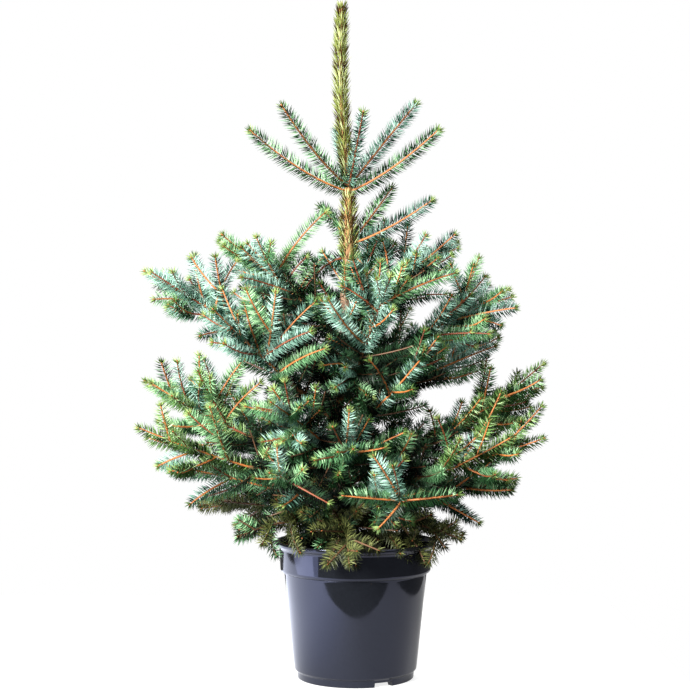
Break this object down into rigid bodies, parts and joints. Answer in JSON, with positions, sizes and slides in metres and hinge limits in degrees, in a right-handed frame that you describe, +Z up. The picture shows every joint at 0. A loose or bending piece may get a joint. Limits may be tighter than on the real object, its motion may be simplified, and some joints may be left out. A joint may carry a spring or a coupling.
{
  "type": "potted blue spruce",
  "caption": "Young blue spruce in a round nursery container, with tiers of rising boughs, blue-green needles and one long upright leader.",
  "frame": {"origin": "centre of the container's flat underside, on the surface that it stands on", "axes": "+Z up along the container's axis and towards the leader's tip, -Y towards the front, +X to the right seen from the front"},
  "size_m": [0.7452, 0.5974, 1.215],
  "materials": {
    "pot": "moulded, glossy dark slate",
    "soil": "loose bark and peat compost",
    "bark": "thin scaly bark",
    "young_bark": "ridged young bark",
    "blue_needles": "waxy blue-green needles",
    "leader_needles": "waxy olive-green needles"
  },
  "bodies": {
    "root": {"pot": "pot", "soil": "soil", "trunk": "bark", "leader_needles": "leader_needles", "upper_stem_needles": "leader_needles", "shoot_top_left": "blue_needles", "shoot_top_left_front": "blue_needles", "shoot_top_front": "blue_needles", "shoot_top_right": "blue_needles", "shoot_top_right_front": "blue_needles", "shoot_top_back": "blue_needles", "shoot_middle_right_upper": "blue_needles", "shoot_middle_right": "blue_needles", "shoot_middle_back": "blue_needles", "shoot_middle_left": "blue_needles", "bough_upper_left": "young_bark", "bough_upper_back": "young_bark", "bough_upper_right": "young_bark", "bough_left": "young_bark", "bough_left_front": "young_bark", "bough_left_back": "young_bark", "bough_front": "young_bark", "bough_right": "young_bark", "bough_right_back": "young_bark", "bough_lower_left": "young_bark", "bough_lower_left_front": "young_bark", "bough_lower_right": "young_bark", "bough_lower_right_front": "young_bark", "bough_lower_back_right": "young_bark", "bough_lower_back_left": "young_bark", "bough_back": "young_bark", "needles_upper_left": "blue_needles", "needles_upper_back": "blue_needles", "needles_upper_right": "blue_needles", "needles_left": "blue_needles", "needles_left_front": "blue_needles", "needles_left_back": "blue_needles", "needles_front": "blue_needles", "needles_right": "blue_needles", "needles_right_back": "blue_needles", "needles_lower_left": "blue_needles", "needles_lower_left_front": "blue_needles", "needles_lower_right": "blue_needles", "needles_lower_right_front": "blue_needles", "needles_lower_back_right": "blue_needles", "needles_lower_back_left": "blue_needles", "needles_back": "blue_needles", "needles_right_front": "blue_needles", "needles_front_left_middle": "blue_needles", "needles_front_middle": "blue_needles", "needles_front_right_low": "blue_needles", "needles_front_left_low": "blue_needles", "needles_left_low": "blue_needles", "needles_right_low": "blue_needles", "needles_skirt_right": "blue_needles", "needles_skirt_front": "blue_needles", "needles_skirt_left": "blue_needles", "needles_skirt_back_left": "blue_needles", "needles_skirt_back": "blue_needles", "needles_skirt_back_right": "blue_needles"}
  },
  "joints": []
}
